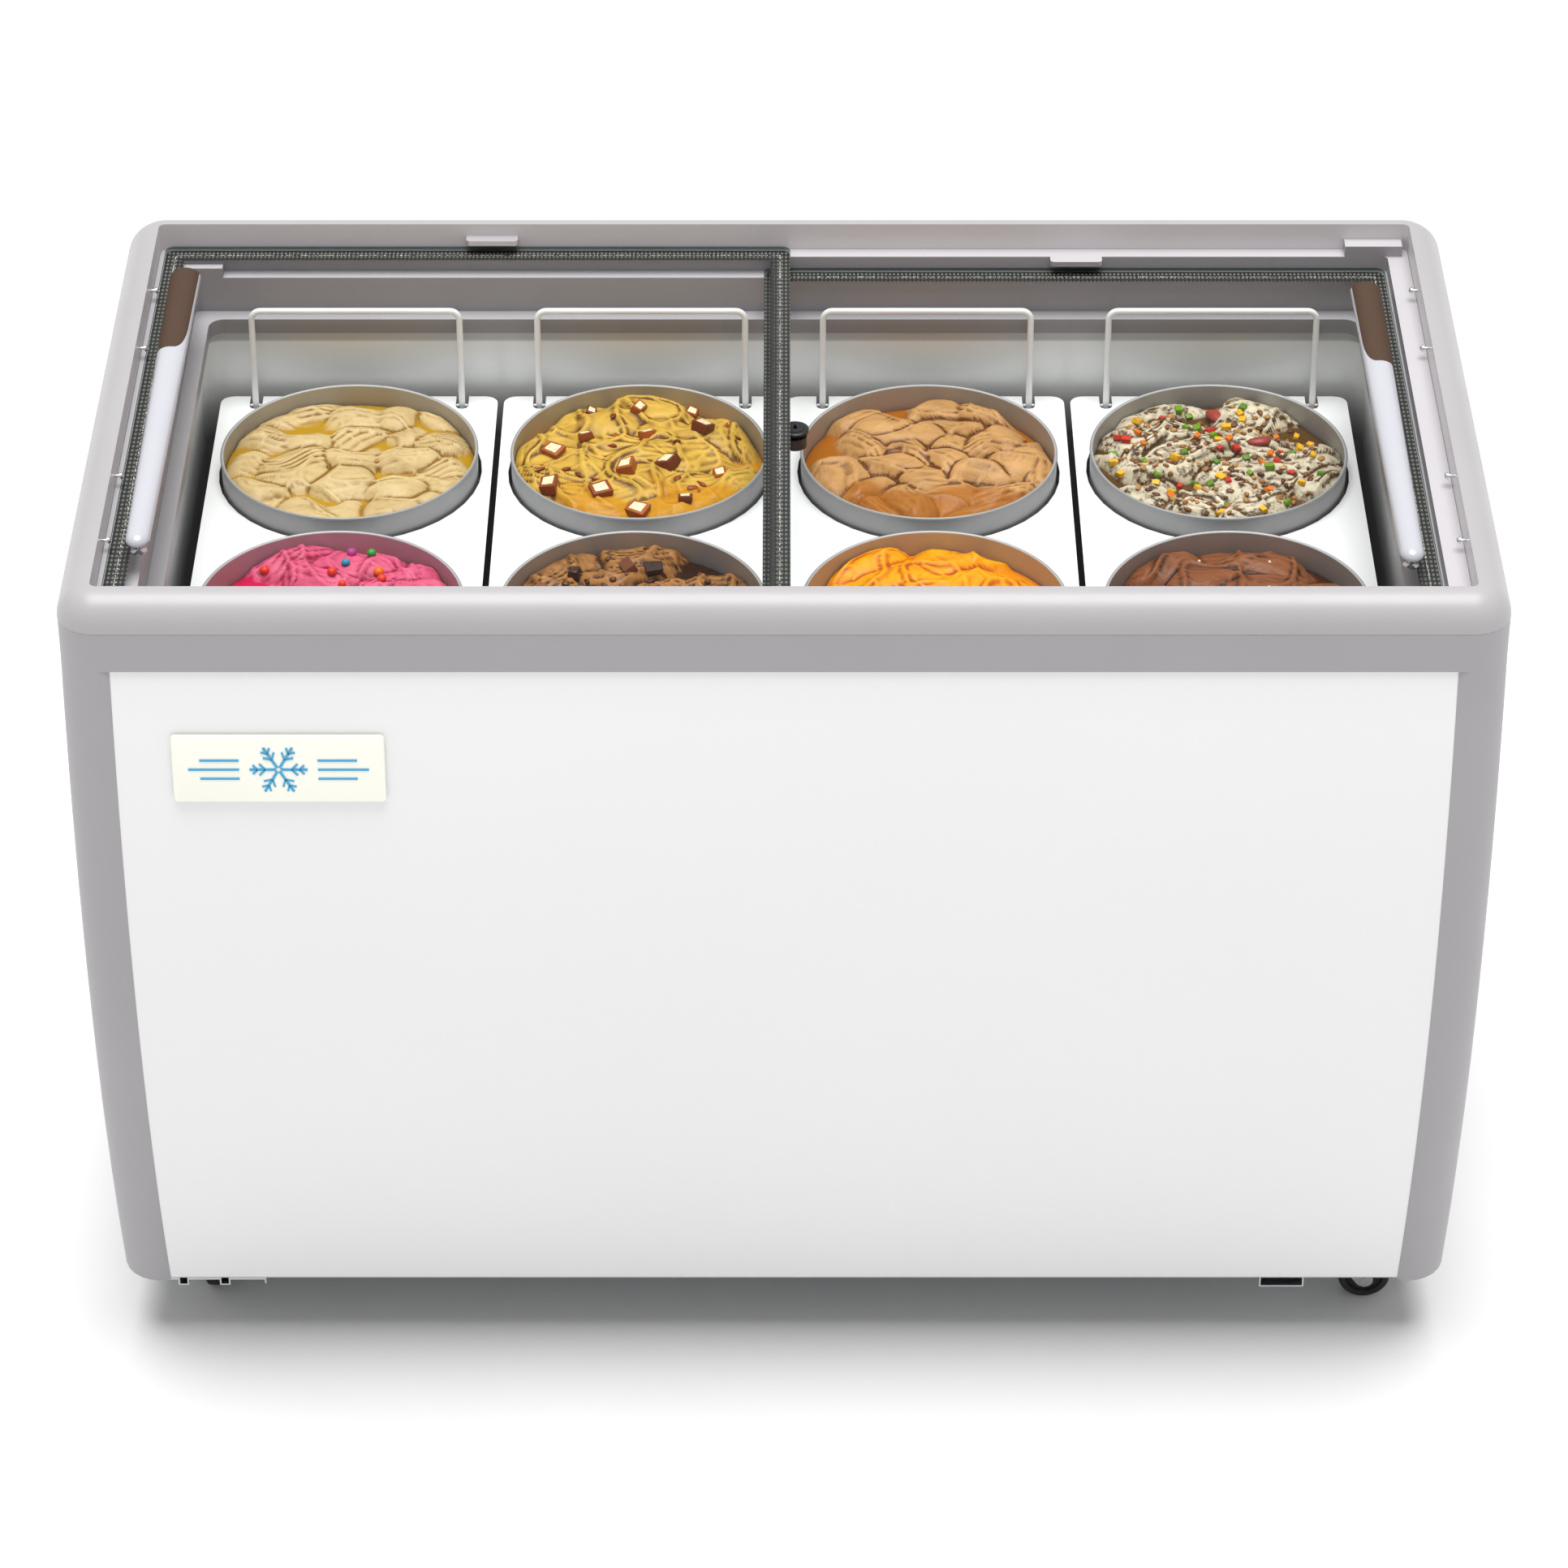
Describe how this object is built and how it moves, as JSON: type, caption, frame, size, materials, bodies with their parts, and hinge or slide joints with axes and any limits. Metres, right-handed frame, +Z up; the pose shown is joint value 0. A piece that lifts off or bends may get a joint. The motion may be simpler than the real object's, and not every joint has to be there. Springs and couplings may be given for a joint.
{
  "type": "chest freezer",
  "caption": "Ice-cream dipping cabinet on casters, with a bulging front, two sliding glass lids, round tubs in lift-out carriers with wire bails, and a lid lock.",
  "frame": {"origin": "on the floor, under the middle of the overall box", "axes": "+Z up, +X along the length, -Y towards the customer"},
  "size_m": [1.245, 0.708, 0.87],
  "materials": {
    "rim_plastic": "satin",
    "trim_plastic": "satin",
    "frame_plastic": "satin",
    "white_sheet": "satin",
    "tank_sheet": "satin",
    "foam": "matte",
    "zinc_steel": "satin",
    "zinc_wire": "satin",
    "compressor_paint": "satin",
    "fin_aluminium": "satin",
    "black_plastic": "matte",
    "black_rubber": "matte",
    "badge_plastic": "gloss",
    "dial_plastic": "satin",
    "lid_glass": "gloss",
    "handle_white": "gloss",
    "handle_brown": "satin",
    "lock_black": "satin",
    "tub_steel": "satin",
    "caster_tyre": "matte",
    "ice_vanilla": "satin",
    "ice_caramel": "satin",
    "ice_peach": "satin",
    "ice_candied_fruit": "satin",
    "ice_pink": "satin",
    "ice_chocolate_nut": "satin",
    "ice_mango": "satin",
    "ice_milk_chocolate": "satin"
  },
  "bodies": {
    "cabinet": {"top_rim": "rim_plastic", "track_frame": "frame_plastic", "trim_frame": "trim_plastic", "front_panel": "white_sheet", "side_panel_left": "white_sheet", "side_panel_right": "white_sheet", "back_panel": "white_sheet", "base_pan": "zinc_steel", "caster_beam": "zinc_steel", "base_rail": "zinc_steel", "liner": "tank_sheet", "insulation": "foam", "compressor": "compressor_paint", "condenser": "fin_aluminium", "vent_grille": "trim_plastic", "power_inlet": "black_plastic", "badge": "badge_plastic"},
    "upper_lid": {"upper_glass": "lid_glass", "upper_handle": "handle_white", "upper_handle_inlay": "handle_brown"},
    "lower_lid": {"lower_glass": "lid_glass", "lower_handle": "handle_white", "lower_handle_inlay": "handle_brown", "lock_barrel": "lock_black"},
    "lock_core": {"lock_core": "lock_black"},
    "fan_rotor": {"fan_rotor": "black_plastic"},
    "thermostat_dial": {"thermostat_dial": "dial_plastic"},
    "drain_plug": {"drain_plug": "black_rubber"},
    "carrier_1": {"carrier_1": "white_sheet"},
    "bail_1": {"bail_1": "zinc_wire"},
    "tub_back_1": {"tub_back_1": "tub_steel", "ice_cream_back_1": "ice_vanilla"},
    "tub_front_1": {"tub_front_1": "tub_steel", "ice_cream_front_1": "ice_pink"},
    "carrier_2": {"carrier_2": "white_sheet"},
    "bail_2": {"bail_2": "zinc_wire"},
    "tub_back_2": {"tub_back_2": "tub_steel", "ice_cream_back_2": "ice_caramel"},
    "tub_front_2": {"tub_front_2": "tub_steel", "ice_cream_front_2": "ice_chocolate_nut"},
    "carrier_3": {"carrier_3": "white_sheet"},
    "bail_3": {"bail_3": "zinc_wire"},
    "tub_back_3": {"tub_back_3": "tub_steel", "ice_cream_back_3": "ice_peach"},
    "tub_front_3": {"tub_front_3": "tub_steel", "ice_cream_front_3": "ice_mango"},
    "carrier_4": {"carrier_4": "white_sheet"},
    "bail_4": {"bail_4": "zinc_wire"},
    "tub_back_4": {"tub_back_4": "tub_steel", "ice_cream_back_4": "ice_candied_fruit"},
    "tub_front_4": {"tub_front_4": "tub_steel", "ice_cream_front_4": "ice_milk_chocolate"},
    "fork_front_left": {"caster_fork_front_left": "zinc_steel"},
    "wheel_front_left": {"caster_wheel_front_left": "caster_tyre"},
    "fork_front_right": {"caster_fork_front_right": "zinc_steel"},
    "wheel_front_right": {"caster_wheel_front_right": "caster_tyre"},
    "fork_back_left": {"caster_fork_back_left": "zinc_steel"},
    "wheel_back_left": {"caster_wheel_back_left": "caster_tyre"},
    "fork_back_right": {"caster_fork_back_right": "zinc_steel"},
    "wheel_back_right": {"caster_wheel_back_right": "caster_tyre"}
  },
  "joints": [
    {"name": "upper_lid_slide", "type": "slide", "parent": "cabinet", "child": "upper_lid", "axis": [1, 0, 0], "range_m": [0, 0.522]},
    {"name": "lower_lid_slide", "type": "slide", "parent": "cabinet", "child": "lower_lid", "axis": [1, 0, 0], "range_m": [-0.512, 0]},
    {"name": "lock_turn", "type": "hinge", "parent": "lower_lid", "child": "lock_core", "pos_m": [0.01, 0.009, 0.833], "axis": [0, 0, 1], "range_deg": [0, 90]},
    {"name": "fan_spin", "type": "hinge", "parent": "cabinet", "child": "fan_rotor", "pos_m": [0.482, -0.015, 0.20365], "axis": [0, 1, 0], "continuous": true},
    {"name": "thermostat_turn", "type": "hinge", "parent": "cabinet", "child": "thermostat_dial", "pos_m": [0.6145, -0.011, 0.29], "axis": [1, 0, 0], "range_deg": [0, 270]},
    {"name": "drain_plug_pull", "type": "slide", "parent": "cabinet", "child": "drain_plug", "axis": [0, 0, 1], "range_m": [0, 0.03]},
    {"name": "carrier_1_lift", "type": "slide", "parent": "cabinet", "child": "carrier_1", "axis": [0, 0, 1], "range_m": [0, 0.015]},
    {"name": "bail_1_fold", "type": "hinge", "parent": "carrier_1", "child": "bail_1", "pos_m": [-0.4062, 0.261, 0.708], "axis": [-1, 0, 0], "range_deg": [-60, 0]},
    {"name": "tub_back_1_lift", "type": "slide", "parent": "carrier_1", "child": "tub_back_1", "axis": [0, 0, 1], "range_m": [0, 0.07]},
    {"name": "tub_front_1_lift", "type": "slide", "parent": "carrier_1", "child": "tub_front_1", "axis": [0, 0, 1], "range_m": [0, 0.07]},
    {"name": "carrier_2_lift", "type": "slide", "parent": "cabinet", "child": "carrier_2", "axis": [0, 0, 1], "range_m": [0, 0.015]},
    {"name": "bail_2_fold", "type": "hinge", "parent": "carrier_2", "child": "bail_2", "pos_m": [-0.1354, 0.261, 0.708], "axis": [-1, 0, 0], "range_deg": [-60, 0]},
    {"name": "tub_back_2_lift", "type": "slide", "parent": "carrier_2", "child": "tub_back_2", "axis": [0, 0, 1], "range_m": [0, 0.07]},
    {"name": "tub_front_2_lift", "type": "slide", "parent": "carrier_2", "child": "tub_front_2", "axis": [0, 0, 1], "range_m": [0, 0.07]},
    {"name": "carrier_3_lift", "type": "slide", "parent": "cabinet", "child": "carrier_3", "axis": [0, 0, 1], "range_m": [0, 0.015]},
    {"name": "bail_3_fold", "type": "hinge", "parent": "carrier_3", "child": "bail_3", "pos_m": [0.1354, 0.261, 0.708], "axis": [-1, 0, 0], "range_deg": [-60, 0]},
    {"name": "tub_back_3_lift", "type": "slide", "parent": "carrier_3", "child": "tub_back_3", "axis": [0, 0, 1], "range_m": [0, 0.07]},
    {"name": "tub_front_3_lift", "type": "slide", "parent": "carrier_3", "child": "tub_front_3", "axis": [0, 0, 1], "range_m": [0, 0.07]},
    {"name": "carrier_4_lift", "type": "slide", "parent": "cabinet", "child": "carrier_4", "axis": [0, 0, 1], "range_m": [0, 0.015]},
    {"name": "bail_4_fold", "type": "hinge", "parent": "carrier_4", "child": "bail_4", "pos_m": [0.4062, 0.261, 0.708], "axis": [-1, 0, 0], "range_deg": [-60, 0]},
    {"name": "tub_back_4_lift", "type": "slide", "parent": "carrier_4", "child": "tub_back_4", "axis": [0, 0, 1], "range_m": [0, 0.07]},
    {"name": "tub_front_4_lift", "type": "slide", "parent": "carrier_4", "child": "tub_front_4", "axis": [0, 0, 1], "range_m": [0, 0.07]},
    {"name": "swivel_front_left", "type": "hinge", "parent": "cabinet", "child": "fork_front_left", "pos_m": [-0.545, -0.208, 0.07], "axis": [0, 0, 1], "continuous": true},
    {"name": "wheel_spin_front_left", "type": "hinge", "parent": "fork_front_left", "child": "wheel_front_left", "pos_m": [-0.545, -0.19, 0.02469], "axis": [-1, 0, 0], "continuous": true},
    {"name": "swivel_front_right", "type": "hinge", "parent": "cabinet", "child": "fork_front_right", "pos_m": [0.537, -0.208, 0.07], "axis": [0, 0, 1], "continuous": true},
    {"name": "wheel_spin_front_right", "type": "hinge", "parent": "fork_front_right", "child": "wheel_front_right", "pos_m": [0.555, -0.208, 0.02469], "axis": [0, 1, 0], "continuous": true},
    {"name": "swivel_back_left", "type": "hinge", "parent": "cabinet", "child": "fork_back_left", "pos_m": [-0.545, 0.237, 0.07], "axis": [0, 0, 1], "continuous": true},
    {"name": "wheel_spin_back_left", "type": "hinge", "parent": "fork_back_left", "child": "wheel_back_left", "pos_m": [-0.545, 0.255, 0.02469], "axis": [-1, 0, 0], "continuous": true},
    {"name": "swivel_back_right", "type": "hinge", "parent": "cabinet", "child": "fork_back_right", "pos_m": [0.537, 0.237, 0.07], "axis": [0, 0, 1], "continuous": true},
    {"name": "wheel_spin_back_right", "type": "hinge", "parent": "fork_back_right", "child": "wheel_back_right", "pos_m": [0.555, 0.237, 0.02469], "axis": [0, 1, 0], "continuous": true}
  ]
}
